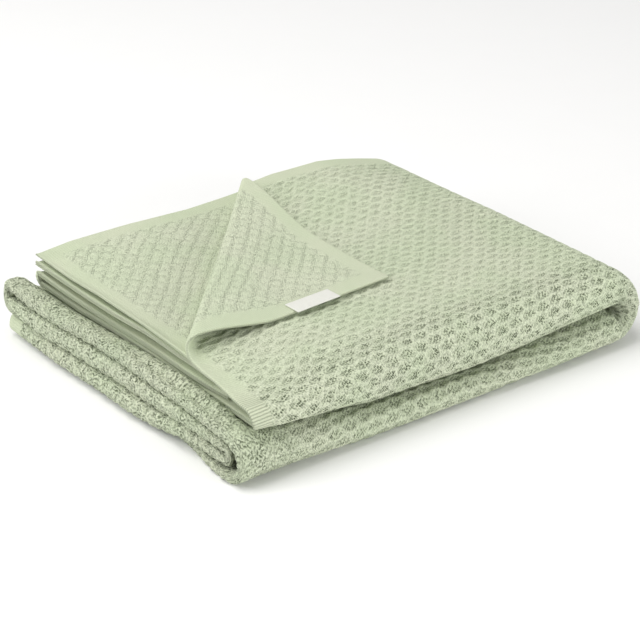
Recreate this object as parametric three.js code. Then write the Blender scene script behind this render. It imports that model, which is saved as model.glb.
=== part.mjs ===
// A knitted crib blanket of one piece, folded to a flat pile with the corner of its top leaf
// turned back, and the small label sewn to that corner's border.
// Millimetres, +Z up. +X runs from the free leaf ends to the last fold, +Y from the front
// folds to the back folds. The origin is under the middle of the pile.
//
// The blanket is folded four times: once across its length at the ridge, which makes leaf one
// and leaf two, twice along its length, which makes quarters one to four, and across again at
// the last fold. Sixteen leaves lie on each other.

import * as THREE from 'three';

// The knit and the pile of leaves
const CLOTH = 1.4;
const LEAF = 2.25; // from the middle of one leaf to the middle of the next
const PAIR = 2 * LEAF;
const STACK = 4 * PAIR;
const CREASE = 0.7; // half the space between the two halves of the pile
const MIDDLE = STACK + CREASE;
const LAST_FOLD_X = 115.8;
const FOLD_AXIS_X = LAST_FOLD_X - STACK - CREASE;

// Height of each quarter's pair of leaves, measured from the middle of the pile
const QUARTER_1 = 3.5 * PAIR;
const QUARTER_4 = 2.5 * PAIR;
const QUARTER_3 = 1.5 * PAIR;
const QUARTER_2 = 0.5 * PAIR;

// How far the folds of a pair reach past their centres
const FRONT_REACH = 13;
const FRONT_NOSE = 3.5; // least radius at the tip of the front fold
const BACK_REACH = 2.25;
const INSIDE_REACH = 2.25;

// How far the ridge bulges past the leaves that join in it, and where it swells
const RIDGE_DEEP = 1.4;
const PLUMP = { fromX: -113, overX: 12 };

// How near each other the two leaves of a pair are pressed at their free ends
const PRESSED = { share: 0.88, over: 0.1, fromPlace: 1, overPlace: 0.3 };

// Places across the pile, at steps along each leaf: 0 is its free end, 1 to 2 the last fold,
// 3 the start of the ridge and 4 its crest. edge1 and edge2 are the free long edge of quarter one
// in leaf one and in leaf two, and edge4 that of quarter four. slump lowers the front of quarter
// one and sag the crease between the two front rolls.
const ALONG = [
  { step: 0.0, edge1: 87, edge2: 96, edge4: 93, back: 90, front: -93, inside: -52, slump: 4.8, sag: 0 },
  { step: 0.12, edge1: 88, edge2: 96, edge4: 93, back: 90, front: -93, inside: -52, slump: 4.4, sag: 0 },
  { step: 0.3, edge1: 91.5, edge2: 96.5, edge4: 93, back: 90, front: -93, inside: -52, slump: 2.4, sag: 5 },
  { step: 0.6, edge1: 98.5, edge2: 98.5, edge4: 93.5, back: 90, front: -93, inside: -53, slump: 0, sag: 5 },
  { step: 0.85, edge1: 100, edge2: 100, edge4: 94, back: 90, front: -93.2, inside: -54, slump: 0, sag: 0.5 },
  { step: 1.0, edge1: 100, edge2: 100, edge4: 94, back: 90, front: -93.5, inside: -54, slump: 0, sag: 0 },
  { step: 2.0, edge1: 95, edge2: 95, edge4: 93, back: 90, front: -96.5, inside: -54, slump: 0, sag: 0 },
  { step: 2.15, edge1: 95, edge2: 95, edge4: 93, back: 90, front: -96.5, inside: -53, slump: 0, sag: 0.5 },
  { step: 2.4, edge1: 95.5, edge2: 95.5, edge4: 94, back: 91.5, front: -94.5, inside: -52, slump: 0, sag: 5 },
  { step: 2.7, edge1: 96.5, edge2: 96.5, edge4: 96, back: 94, front: -94.5, inside: -50, slump: 0, sag: 4 },
  { step: 2.86, edge1: 98, edge2: 98, edge4: 98, back: 96, front: -94.5, inside: -63, slump: 0, sag: 0 },
  { step: 3.0, edge1: 99, edge2: 99, edge4: 99, back: 97, front: -94.5, inside: -79, slump: 0, sag: 0 },
  { step: 4.0, edge1: 99, edge2: 99, edge4: 99, back: 97, front: -94.5, inside: -79, slump: 0, sag: 0 },
];
const CREST = 4; // the step at which leaf one passes into leaf two
const SLUMP_FROM_Y = -58;
const SAG_FROM_Y = -62;
const SAG_OVER = 16;

// Where the leaves end and the ridge's crest lies, and how many times thicker than its two leaves
// the ridge has swollen, at places across the blanket: 0 to 1 is quarter one, 1 to 2 the front
// fold, 2 to 3 quarter two, 3 to 4 the back fold, 4 to 5 quarter three, 5 to 6 the inside fold
// and 6 to 7 quarter four.
const ACROSS = [
  { place: 0, end1: -118, end2: -114.5, crest: -119.5, plump: 1 },
  { place: 0.2, end1: -120, end2: -116.5, crest: -119.5, plump: 1 },
  { place: 0.45, end1: -122, end2: -117, crest: -119, plump: 1 },
  { place: 0.7, end1: -120.5, end2: -117, crest: -119.5, plump: 1 },
  { place: 0.85, end1: -119.7, end2: -116.5, crest: -123.5, plump: 1 },
  { place: 0.95, end1: -119.2, end2: -116.2, crest: -126.8, plump: 1 },
  { place: 1, end1: -119, end2: -116, crest: -127.6, plump: 1 },
  { place: 1.2, end1: -119.2, end2: -116, crest: -127.7, plump: 1.15 },
  { place: 1.5, end1: -119.5, end2: -116, crest: -127.5, plump: 1.3 },
  { place: 2, end1: -117.5, end2: -116, crest: -126, plump: 1.5 },
  { place: 2.2, end1: -114, end2: -113.5, crest: -125, plump: 1.7 },
  { place: 2.35, end1: -112.3, end2: -112.5, crest: -125.8, plump: 1.7 },
  { place: 2.6, end1: -112.3, end2: -112.5, crest: -126.5, plump: 1.7 },
  { place: 2.75, end1: -114, end2: -114.3, crest: -129.2, plump: 1.7 },
  { place: 2.87, end1: -115.3, end2: -115.6, crest: -130.5, plump: 1.7 },
  { place: 3, end1: -116, end2: -116.2, crest: -130.5, plump: 1 },
  { place: 4, end1: -117.4, end2: -117.4, crest: -131, plump: 1 },
  { place: 4.17, end1: -117.4, end2: -117.3, crest: -130.8, plump: 1.5 },
  { place: 4.32, end1: -117.2, end2: -117, crest: -129, plump: 1.5 },
  { place: 4.5, end1: -116.5, end2: -116.2, crest: -127.3, plump: 1.5 },
  { place: 4.83, end1: -116.8, end2: -116.5, crest: -126.3, plump: 1.5 },
  { place: 5, end1: -117, end2: -116.5, crest: -125.5, plump: 1 },
  { place: 6, end1: -116, end2: -115.5, crest: -125.5, plump: 1 },
  { place: 6.17, end1: -115.5, end2: -115.2, crest: -126.6, plump: 1.75 },
  { place: 6.4, end1: -115, end2: -114.8, crest: -129.8, plump: 1.75 },
  { place: 6.55, end1: -115, end2: -114.8, crest: -129.6, plump: 1.75 },
  { place: 6.75, end1: -115.8, end2: -115.3, crest: -130.8, plump: 1.75 },
  { place: 7, end1: -116.8, end2: -115.6, crest: -129.5, plump: 1.75 },
];

// How the pile has settled. The lowest leaf lies flat.
const FLAT_BELOW = 2.2;
const LIFT = { height: 5.2, from: 70, over: 190 }; // the ridges prop up the leaf ends
const DIP = { depth: 3.4, fromY: -34, overY: 26, fromX: 0, overX: 110 };
const SWELL_AT = [
  { y: -95, height: 0 },
  { y: -70, height: 1.5 },
  { y: 0, height: 5.5 },
  { y: 60, height: 6 },
  { y: 100, height: 8.5 },
];
const SWELL = { fromX: -112.5, overX: 12, fromZ: 5, overZ: 12 };
const SINK_AT = [
  { x: -118, depth: 0 },
  { x: -90, depth: 2.8 },
  { x: -50, depth: 3.2 },
  { x: 40, depth: 3.2 },
  { x: 70, depth: 2.6 },
  { x: 98, depth: 0.8 },
];
const SINK = { fromY: -58, overY: 22 };
const DROOP = { depth: 4, fromX: 70, overX: 45, overY: 95 };
const RISE_AT = [
  { x: -118, height: 0.5 },
  { x: -95, height: 3.3 },
  { x: -60, height: 4.1 },
  { x: -25, height: 3.4 },
  { x: 0, height: 5 },
  { x: 30, height: 7.8 },
  { x: 60, height: 7.6 },
  { x: 80, height: 4.3 },
  { x: 98, height: 1.8 },
];
const RISE = { fromY: 20, overY: 70 };
const TUCK = { depth: 4, fromX: 88, overX: 28 };
// The low ridge hangs down past the lowest one
const HANG = { depth: 2.6, fromX: -119, overX: 8, fromY: -52, overY: 30, fromZ: 6, overZ: 8 };

// The corner of the top leaf turns back over the line between these two points
const TURN_BACK = new THREE.Vector2(10, 96);
const TURN_FRONT = new THREE.Vector2(-118, -40.5);
const TURN_RADIUS_BACK = 3.6;
const TURN_RADIUS_FRONT = 4.3;
const TURN_REST = LEAF + 0.3; // how high the turned corner lies over its own leaf
const TURN_LANDING = 34;

// Mesh lines: each row ends a run that is cut into that many cells
const LINES_ALONG = [
  { end: 0.12, cells: 2 }, { end: 0.3, cells: 3 }, { end: 0.6, cells: 5 }, { end: 0.85, cells: 1 },
  { end: 1, cells: 1 }, { end: 2, cells: 6 }, { end: 2.15, cells: 1 }, { end: 2.4, cells: 1 },
  { end: 2.7, cells: 1 }, { end: 2.86, cells: 1 }, { end: 2.93, cells: 1 }, { end: 2.965, cells: 1 },
  { end: 3, cells: 2 }, { end: 4, cells: 3 }, { end: 5, cells: 3 }, { end: 5.035, cells: 2 },
  { end: 5.07, cells: 1 }, { end: 5.14, cells: 1 }, { end: 5.3, cells: 1 }, { end: 5.6, cells: 1 },
  { end: 5.85, cells: 1 }, { end: 6, cells: 1 }, { end: 7, cells: 6 }, { end: 7.15, cells: 1 },
  { end: 7.4, cells: 1 }, { end: 7.7, cells: 1 }, { end: 7.88, cells: 2 }, { end: 8, cells: 2 },
];
const LINES_ACROSS = [
  { end: 0.8, cells: 11 }, { end: 1, cells: 2 }, { end: 2, cells: 6 }, { end: 2.15, cells: 2 },
  { end: 3, cells: 6 }, { end: 4, cells: 4 }, { end: 5, cells: 6 }, { end: 6, cells: 4 },
  { end: 7, cells: 6 },
];
const FINE_CELLS = 3; // cells at the turned corner's roll and under the label are cut in three both ways

// The label on the wrong side of the turned corner, along its short edge
const LABEL_THICK = 0.8;
const LABEL_GAP = 0.3;
const LABEL_FROM_CORNER = 35;
const LABEL_LONG = 27;
const LABEL_OVER = 2.4; // how far it stands out past the edge
const LABEL_WIDE = 9.5;
const LABEL_CELLS_LONG = 6;
const LABEL_CELLS_WIDE = 2;

const sage = new THREE.MeshStandardMaterial({ color: 0xc8cfb3, roughness: 0.95, metalness: 0 });
const white = new THREE.MeshStandardMaterial({ color: 0xe6e7de, roughness: 0.85, metalness: 0 });

const clamp = THREE.MathUtils.clamp;
const lerp = THREE.MathUtils.lerp;
const ease = (value) => THREE.MathUtils.smoothstep(value, 0, 1);

// A table's column at a value of its key column, in straight runs between the rows
function column(table, key, value, name) {
  let row = 0;
  while (row < table.length - 2 && value > table[row + 1][key]) {
    row += 1;
  }
  const from = table[row];
  const to = table[row + 1];
  const share = clamp((value - from[key]) / (to[key] - from[key]), 0, 1);
  return lerp(from[name], to[name], share);
}

// A straight run of a pair of leaves. up is +1 where leaf one lies above leaf two.
function run(y, height, up) {
  return { y, height, normalY: 0, normalZ: up };
}

// A half-oval fold of a pair from one height to another
function fold(centre, from, to, reach, share) {
  const half = (from - to) / 2;
  const angle = Math.PI * share;
  const slopeY = reach * Math.cos(angle);
  const slopeZ = -half * Math.sin(angle);
  const size = Math.hypot(slopeY, slopeZ);
  return {
    y: centre + reach * Math.sin(angle),
    height: (from + to) / 2 + half * Math.cos(angle),
    normalY: slopeZ / size,
    normalZ: -slopeY / size,
  };
}

// The back-and-forth section across the pile: the middle line of a pair of leaves, and its
// direction towards leaf one
function section(leaf, step, place) {
  const at = (name) => column(ALONG, 'step', step, name);
  const part = clamp(Math.floor(place), 0, 6);
  const share = place - part;
  const sag = at('sag') * (step < 1.5 ? -1 : 1);
  const top = QUARTER_1 - at('slump');
  const bottom = QUARTER_2 + sag;
  const half = (top - bottom) / 2;
  const reach = Math.min(FRONT_REACH, (half * half) / FRONT_NOSE);
  const front = at('front') + reach + LEAF / 2 + CLOTH / 2;
  const inside = at('inside');
  const back = at('back');
  switch (part) {
    case 0: {
      const y = lerp(at(leaf === 1 ? 'edge1' : 'edge2'), front, share);
      return run(y, QUARTER_1 - at('slump') * ease((SLUMP_FROM_Y - y) / (SLUMP_FROM_Y - front)), 1);
    }
    case 1:
      return fold(front, top, bottom, -reach, share);
    case 2: {
      const y = lerp(front, back, share);
      return run(y, QUARTER_2 + sag * ease((SAG_FROM_Y - y) / SAG_OVER), -1);
    }
    case 3:
      return fold(back, QUARTER_2, QUARTER_3, BACK_REACH, share);
    case 4:
      return run(lerp(back, inside, share), QUARTER_3, 1);
    case 5:
      return fold(inside, QUARTER_3, QUARTER_4, -INSIDE_REACH, share);
    default:
      return run(lerp(inside, at('edge4'), share), QUARTER_4, -1);
  }
}

// The middle of the cloth in the neat pile. along runs 0 to 4 over leaf one and 4 to 8 back
// over leaf two.
function neatPile(along, place) {
  const leaf = along <= CREST ? 1 : 2;
  const side = leaf === 1 ? 1 : -1;
  const step = leaf === 1 ? along : 2 * CREST - along;
  const part = clamp(Math.floor(step), 0, 3);
  const share = step - part;
  const middle = section(leaf, step, place);
  const across = (name) => column(ACROSS, 'place', place, name);
  const end = across(leaf === 1 ? 'end1' : 'end2');
  const plump = across('plump');
  const ridgeDeep = RIDGE_DEEP * plump;
  const ridgeStart = across('crest') + ridgeDeep;
  const bulge = part === 3 ? (share * Math.PI) / 2 : 0;
  const lowX = part === 3 ? ridgeStart - ridgeDeep * Math.sin(bulge) : lerp(FOLD_AXIS_X, ridgeStart, share);
  const swollen = part < 2 ? 1 : lerp(1, plump, ease((PLUMP.fromX - lowX) / PLUMP.overX));
  const nearEnd = ease((place - PRESSED.fromPlace) / PRESSED.overPlace) * (1 - ease(step / PRESSED.over));
  const spread = swollen * lerp(1, PRESSED.share, nearEnd);
  const offset = side * (LEAF / 2) * Math.cos(bulge) * spread;
  const radius = CREASE + middle.height + offset * middle.normalZ;
  const y = middle.y + offset * middle.normalY;
  switch (part) {
    case 0:
      return new THREE.Vector3(lerp(end, FOLD_AXIS_X, share), y, MIDDLE + radius);
    case 1: {
      const angle = Math.PI * share;
      return new THREE.Vector3(FOLD_AXIS_X + radius * Math.sin(angle), y, MIDDLE + radius * Math.cos(angle));
    }
    default:
      return new THREE.Vector3(lowX, y, MIDDLE - radius);
  }
}

// Moves a point of the neat pile to where the soft pile has settled
function settle(point) {
  const { x, y, z } = point;
  const low = clamp((z - FLAT_BELOW) / (MIDDLE - FLAT_BELOW), 0, 1);
  const high = clamp((z - MIDDLE) / MIDDLE, 0, 1);
  const nearCrease = Math.min(low, 1 - high);
  const lift = LIFT.height * ease((LIFT.from - x) / LIFT.over) * low;
  const dip = DIP.depth * high * ease((DIP.fromY - y) / DIP.overY) * ease((DIP.fromX - x) / DIP.overX);
  const outside = ease((SWELL.fromX - x) / SWELL.overX) * ease((z - SWELL.fromZ) / SWELL.overZ);
  const swell = column(SWELL_AT, 'y', y, 'height') * outside;
  const sink = column(SINK_AT, 'x', x, 'depth') * nearCrease * ease((SINK.fromY - y) / SINK.overY);
  const droop = DROOP.depth * high * ease((x - DROOP.fromX) / DROOP.overX) * ease(y / DROOP.overY);
  const rise = column(RISE_AT, 'x', x, 'height') * high * ease((y - RISE.fromY) / RISE.overY);
  const tuck = TUCK.depth * ease((x - TUCK.fromX) / TUCK.overX) * (1 - low);
  const hanging = ease((HANG.fromX - x) / HANG.overX) * ease((y - HANG.fromY) / HANG.overY);
  const hang = HANG.depth * hanging * (1 - ease((z - HANG.fromZ) / HANG.overZ));
  return new THREE.Vector3(x - tuck, y, z + lift - dip + swell - sink - droop + rise - hang);
}

// Where a point lies against the line over which the corner turns back
const turnLine = TURN_BACK.clone().sub(TURN_FRONT);
const turnLength = turnLine.length();
turnLine.normalize();
const turnOut = new THREE.Vector2(-turnLine.y, turnLine.x);

function turnPlace(point) {
  const from = new THREE.Vector2(point.x, point.y).sub(TURN_FRONT);
  const along = from.dot(turnLine);
  const radius = lerp(TURN_RADIUS_FRONT, TURN_RADIUS_BACK, clamp(along / turnLength, 0, 1));
  return { along, radius, beyond: from.dot(turnOut) + radius };
}

// Rolls the top leaf's corner back over the line, to lie on its own leaf
function turnCorner(point) {
  const { along, radius, beyond } = turnPlace(point);
  if (beyond <= 0) {
    return point;
  }
  const angle = Math.min(beyond / radius, Math.PI);
  const past = Math.max(beyond - Math.PI * radius, 0);
  const out = -radius + radius * Math.sin(angle) - past;
  const up = radius * (1 - Math.cos(angle)) - (2 * radius - TURN_REST) * ease(past / TURN_LANDING);
  const turned = TURN_FRONT.clone().addScaledVector(turnLine, along).addScaledVector(turnOut, out);
  const leafBelow = settle(new THREE.Vector3(turned.x, turned.y, 2 * MIDDLE - LEAF / 2));
  return new THREE.Vector3(turned.x, turned.y, leafBelow.z + up);
}

// The middle of the cloth in the settled pile
function cloth(along, place) {
  const point = settle(neatPile(along, place));
  const onTopLeaf = along < 1 && place < 1;
  return onTopLeaf ? turnCorner(point) : point;
}

// A point at a distance from the middle of the cloth, on its right side where positive
function offCloth(along, place, distance) {
  const tiny = 0.004;
  const slopeAlong = cloth(along + tiny, place).sub(cloth(along - tiny, place));
  const slopeAcross = cloth(along, place + tiny).sub(cloth(along, place - tiny));
  const normal = slopeAcross.cross(slopeAlong).normalize();
  return cloth(along, place).addScaledVector(normal, distance);
}

// Values of the mesh lines, from a table of runs
function meshLines(runs) {
  const values = [0];
  for (const { end, cells } of runs) {
    const start = values[values.length - 1];
    for (let cell = 1; cell <= cells; cell += 1) {
      values.push(lerp(start, end, cell / cells));
    }
  }
  return values;
}

// A closed sheet over a net of cells. pointAt gives a point for two line values and a side,
// isFine says which cells are cut into parts by parts smaller ones, and past the line value
// mirrorFrom the cells are halved the other way, so that facets match where a leaf doubles back.
function closedSheet(lines, crossLines, parts, isFine, mirrorFrom, pointAt) {
  const points = [];
  const indexOf = new Map();
  const faces = [];
  const valueAt = (values, index) => {
    const whole = Math.min(Math.floor(index / parts), values.length - 2);
    return lerp(values[whole], values[whole + 1], index / parts - whole);
  };
  const vertex = (i, j, side) => {
    const name = `${i} ${j} ${side}`;
    if (!indexOf.has(name)) {
      indexOf.set(name, points.length);
      points.push(pointAt(valueAt(lines, i), valueAt(crossLines, j), side));
    }
    return indexOf.get(name);
  };
  const rows = lines.length - 1;
  const columns = crossLines.length - 1;
  const fine = [];
  for (let row = 0; row < rows; row += 1) {
    fine.push([]);
    for (let col = 0; col < columns; col += 1) {
      fine[row].push(isFine(lines[row], lines[row + 1], crossLines[col], crossLines[col + 1]));
    }
  }
  const fineAt = (row, col) => row >= 0 && col >= 0 && row < rows && col < columns && fine[row][col];
  const triangle = (a, b, c, side) => faces.push(...(side > 0 ? [a, c, b] : [a, b, c]));
  const quad = (i, j, size, side) => {
    const corners = [[i, j], [i + size, j], [i + size, j + size], [i, j + size]];
    const [a, b, c, d] = corners.map(([u, v]) => vertex(u, v, side));
    if (valueAt(lines, i) < mirrorFrom) {
      triangle(a, b, c, side);
      triangle(a, c, d, side);
    } else {
      triangle(a, b, d, side);
      triangle(b, c, d, side);
    }
  };
  // The outline of a plain cell, with the smaller cells' points where one lies beside it
  const outline = (row, col) => {
    const i = row * parts;
    const j = col * parts;
    const sides = [
      { from: [i, j], go: [1, 0], beside: fineAt(row, col - 1) },
      { from: [i + parts, j], go: [0, 1], beside: fineAt(row + 1, col) },
      { from: [i + parts, j + parts], go: [-1, 0], beside: fineAt(row, col + 1) },
      { from: [i, j + parts], go: [0, -1], beside: fineAt(row - 1, col) },
    ];
    return sides.flatMap(({ from, go, beside }) => {
      const count = beside ? parts : 1;
      return Array.from({ length: count }, (_, n) => [from[0] + go[0] * n, from[1] + go[1] * n]);
    });
  };
  const plainCell = (row, col, side) => {
    const ring = outline(row, col);
    if (ring.length === 4) {
      quad(row * parts, col * parts, parts, side);
      return;
    }
    const centre = vertex((row + 0.5) * parts, (col + 0.5) * parts, side);
    ring.forEach(([i, j], n) => {
      const [nextI, nextJ] = ring[(n + 1) % ring.length];
      triangle(centre, vertex(i, j, side), vertex(nextI, nextJ, side), side);
    });
  };
  for (const side of [1, -1]) {
    for (let row = 0; row < rows; row += 1) {
      for (let col = 0; col < columns; col += 1) {
        if (!fine[row][col]) {
          plainCell(row, col, side);
          continue;
        }
        for (let part = 0; part < parts * parts; part += 1) {
          quad(row * parts + (part % parts), col * parts + Math.floor(part / parts), 1, side);
        }
      }
    }
  }
  // The rim between the two sides, walked once round the sheet
  const rim = [];
  const walk = (length, place, isFineCell) => {
    for (let cell = 0; cell < length; cell += 1) {
      const count = isFineCell(cell) ? parts : 1;
      for (let n = 0; n < count; n += 1) {
        rim.push(place(cell * parts + (n * parts) / count));
      }
    }
  };
  const lastI = rows * parts;
  const lastJ = columns * parts;
  walk(rows, (i) => [i, 0], (row) => fine[row][0]);
  walk(columns, (j) => [lastI, j], (col) => fine[rows - 1][col]);
  walk(rows, (i) => [lastI - i, lastJ], (row) => fine[rows - 1 - row][columns - 1]);
  walk(columns, (j) => [0, lastJ - j], (col) => fine[0][columns - 1 - col]);
  rim.forEach(([i, j], n) => {
    const [nextI, nextJ] = rim[(n + 1) % rim.length];
    const rightHere = vertex(i, j, 1);
    const rightNext = vertex(nextI, nextJ, 1);
    const wrongHere = vertex(i, j, -1);
    const wrongNext = vertex(nextI, nextJ, -1);
    faces.push(rightHere, rightNext, wrongNext, rightHere, wrongNext, wrongHere);
  });
  const geometry = new THREE.BufferGeometry().setFromPoints(points);
  geometry.setIndex(faces);
  return geometry;
}

// Where a point of the label lies on the cloth, from its own width and length in millimetres
function labelPlace(wide, long) {
  const alongPerMm = 1 / (FOLD_AXIS_X - ACROSS[0].end1);
  const placePerMm = 0.1 / cloth(0, 0).distanceTo(cloth(0, 0.1));
  return { along: (wide - LABEL_OVER) * alongPerMm, place: (LABEL_FROM_CORNER + long) * placePerMm };
}

function blanket() {
  const labelEnd = labelPlace(LABEL_WIDE, LABEL_LONG);
  const labelStart = labelPlace(0, 0);
  const isFine = (along, nextAlong, place, nextPlace) => {
    if (along >= 1 || place >= 1) {
      return false;
    }
    if (along < labelEnd.along && nextPlace > labelStart.place && place < labelEnd.place) {
      return true;
    }
    const corners = [[along, place], [nextAlong, place], [nextAlong, nextPlace], [along, nextPlace]];
    const beyond = corners.map(([a, p]) => {
      const { radius, beyond: distance } = turnPlace(settle(neatPile(a, p)));
      return distance / (Math.PI * radius);
    });
    return Math.max(...beyond) > 0 && Math.min(...beyond) < 1;
  };
  const surface = (along, place, side) => offCloth(along, place, (side * CLOTH) / 2);
  const lines = meshLines(LINES_ALONG);
  const crossLines = meshLines(LINES_ACROSS);
  const mesh = new THREE.Mesh(closedSheet(lines, crossLines, FINE_CELLS, isFine, CREST, surface), sage);
  mesh.name = 'blanket';
  return mesh;
}

function label() {
  const lines = meshLines([{ end: LABEL_WIDE, cells: LABEL_CELLS_WIDE }]);
  const crossLines = meshLines([{ end: LABEL_LONG, cells: LABEL_CELLS_LONG }]);
  const surface = (wide, long, side) => {
    const { along, place } = labelPlace(wide, long);
    const middle = CLOTH / 2 + LABEL_GAP + LABEL_THICK / 2;
    return offCloth(along, place, -middle + (side * LABEL_THICK) / 2);
  };
  const mesh = new THREE.Mesh(closedSheet(lines, crossLines, 1, () => false, Infinity, surface), white);
  mesh.name = 'label';
  return mesh;
}

// The origin goes under the middle of the pile, on the surface that it lies on
const pile = new THREE.Group();
pile.add(blanket(), label());
const bounds = new THREE.Box3().setFromObject(pile);
const centre = bounds.getCenter(new THREE.Vector3());
pile.position.set(-centre.x, -centre.y, -bounds.min.z);

const part = new THREE.Group();
part.add(pile);

export default part;
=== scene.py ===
"""Looks of the folded honeycomb-knit crib blanket and its label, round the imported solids.

The sheet follows the same fold as the solid, from the same named sizes in millimetres, and
gets the knit's relief where it shows. It departs from the solid at the leaf ends, at the inside
fold near them and before the top ridge, as the comments there say. Metres in Blender, +Z up.

The blanket is folded across its length at the ridge, which makes leaf one and leaf two, twice
along its length, which makes quarters one to four, and across again at the last fold. A point of
the cloth has a step along: 0 is leaf one's free end, 1 to 2 the last fold, 3 to 5 the ridge with
its crest at 4, 6 to 7 the last fold again and 8 leaf two's free end. It also has a place across:
0 to 1 is quarter one, 1 to 2 the front fold, 2 to 3 quarter two, 3 to 4 the back fold, 4 to 5
quarter three, 5 to 6 the inside fold and 6 to 7 quarter four.
"""
import math

import bpy
import numpy as np
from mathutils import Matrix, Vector


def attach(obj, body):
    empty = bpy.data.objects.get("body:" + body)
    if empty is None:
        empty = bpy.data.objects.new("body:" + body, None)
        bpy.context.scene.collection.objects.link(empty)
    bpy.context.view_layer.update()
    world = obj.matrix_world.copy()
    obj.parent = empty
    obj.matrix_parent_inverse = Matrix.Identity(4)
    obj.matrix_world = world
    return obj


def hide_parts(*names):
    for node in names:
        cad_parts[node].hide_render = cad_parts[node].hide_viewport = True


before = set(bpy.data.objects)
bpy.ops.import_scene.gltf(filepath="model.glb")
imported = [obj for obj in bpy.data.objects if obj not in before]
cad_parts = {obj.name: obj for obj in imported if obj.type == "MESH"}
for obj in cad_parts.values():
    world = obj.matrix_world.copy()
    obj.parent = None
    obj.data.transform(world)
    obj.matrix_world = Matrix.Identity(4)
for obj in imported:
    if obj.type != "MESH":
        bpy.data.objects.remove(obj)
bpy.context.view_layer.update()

MM = 0.001

# The knit and the pile of leaves, as in the solid
CLOTH = 1.4
LEAF = 2.25  # from the middle of one leaf to the middle of the next
PAIR = 2 * LEAF
STACK = 4 * PAIR
CREASE = 0.7  # half the space between the two halves of the pile
MIDDLE = STACK + CREASE
LAST_FOLD_X = 115.8
FOLD_AXIS_X = LAST_FOLD_X - STACK - CREASE
CREST = 4  # the step at which leaf one passes into leaf two
LOWER_HALF = 1.5  # the step from which a leaf lies in the lower half of the pile
# Height of each quarter's pair of leaves, measured from the middle of the pile
QUARTER_1 = 3.5 * PAIR
QUARTER_4 = 2.5 * PAIR
QUARTER_3 = 1.5 * PAIR
QUARTER_2 = 0.5 * PAIR
# How far the folds of a pair reach past their centres
FRONT_REACH = 13
FRONT_NOSE = 3.5  # least radius at the tip of the front fold
BACK_REACH = 2.25
INSIDE_REACH = 2.25
# How far the ridge bulges past the leaves that join in it, and where it swells
RIDGE_DEEP = 1.4
PLUMP_FROM_X, PLUMP_OVER_X = -113, 12
# Where the fold's own zero point lies from the part's origin, which is under the middle of the pile
PILE_SHIFT = np.array((8.165, -2.287, -0.368))

# How near each other the two leaves of a pair are pressed at their free ends, nearer than in the solid
PRESSED = 0.64
PRESSED_OVER, PRESSED_FROM_PLACE, PRESSED_OVER_PLACE = 0.1, 1, 0.3


def table(names, rows):
    """Columns of a short table by name."""
    values = np.array(rows, float)
    return {name: values[:, n] for n, name in enumerate(names.split())}


# Places across the pile, at steps along each leaf. edge1 and edge2 are the free long edge of quarter
# one in leaf one and in leaf two, and edge4 that of quarter four. slump lowers the front of quarter
# one and sag the crease between the two front rolls. Near the free ends the inside fold lies up to
# 12 mm nearer the front than in the solid.
ALONG = table("step edge1 edge2 edge4 back front inside slump sag", [
    (0.0, 87, 96, 93, 90, -93, -64, 4.8, 0),
    (0.12, 88, 96, 93, 90, -93, -58, 4.4, 0),
    (0.3, 91.5, 96.5, 93, 90, -93, -52, 2.4, 5),
    (0.6, 98.5, 98.5, 93.5, 90, -93, -53, 0, 5),
    (0.85, 100, 100, 94, 90, -93.2, -54, 0, 0.5),
    (1.0, 100, 100, 94, 90, -93.5, -54, 0, 0),
    (2.0, 95, 95, 93, 90, -96.5, -54, 0, 0),
    (2.15, 95, 95, 93, 90, -96.5, -53, 0, 0.5),
    (2.4, 95.5, 95.5, 94, 91.5, -94.5, -52, 0, 5),
    (2.7, 96.5, 96.5, 96, 94, -94.5, -50, 0, 4),
    (2.86, 98, 98, 98, 96, -94.5, -63, 0, 0),
    (3.0, 99, 99, 99, 97, -94.5, -79, 0, 0),
])
# Where the leaves end and the ridge's crest lies, and how many times thicker than its two leaves
# the ridge has swollen. Some leaves end up to 5 mm before or past their ends in the solid.
ACROSS = table("place end1 end2 crest plump", [
    (0, -118, -114.5, -119.5, 1),
    (0.2, -120, -116.5, -119.5, 1),
    (0.45, -122, -117, -119, 1),
    (0.7, -120.5, -117, -119.5, 1),
    (0.85, -119.7, -116.5, -123.5, 1),
    (0.95, -119.2, -116.2, -126.8, 1),
    (1, -119, -116, -127.6, 1),
    (1.2, -119.2, -116, -127.7, 1.15),
    (1.5, -119.5, -116, -127.5, 1.3),
    (1.8, -117.5, -115.6, -126.6, 1.4),
    (2, -115.2, -114.8, -126, 1.5),
    (2.2, -115, -115, -125, 1.7),
    (2.35, -114.6, -114.6, -125.8, 1.7),
    (2.6, -114.6, -114.6, -126.5, 1.7),
    (2.75, -115.2, -115.2, -129.2, 1.7),
    (2.87, -115.5, -115.6, -130.5, 1.7),
    (3, -116, -116.2, -130.5, 1),
    (4, -117.4, -117.4, -131, 1),
    (4.17, -117.4, -117.3, -130.8, 1.5),
    (4.32, -116.3, -116.3, -129, 1.5),
    (4.5, -115.1, -115.1, -127.3, 1.5),
    (4.83, -115.1, -115.1, -126.3, 1.5),
    (5, -113, -113, -125.5, 1),
    (5.4, -112, -112, -125.5, 1),
    (6, -112.5, -112.5, -125.5, 1),
    (6.1, -113.8, -113.8, -126, 1.5),
    (6.2, -115.4, -115.4, -126.9, 1.75),
    (6.4, -117, -117, -129.8, 1.75),
    (6.55, -118, -118, -129.6, 1.75),
    (6.75, -117.4, -117.4, -130.8, 1.75),
    (7, -116.6, -116.4, -129.5, 1.75),
])
# How far the top ridge swells up before the leaf ends that lie behind it, which the solid leaves out
BUMP_AT = table("place height", [
    (1.75, 0), (2, 1.5), (2.1, 5), (2.25, 5.5), (2.4, 4.2), (2.55, 2.4), (2.75, 0.6), (2.9, 0),
])
BUMP_BACK_X = -113.5
BUMP_TOP = 0.7
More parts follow.
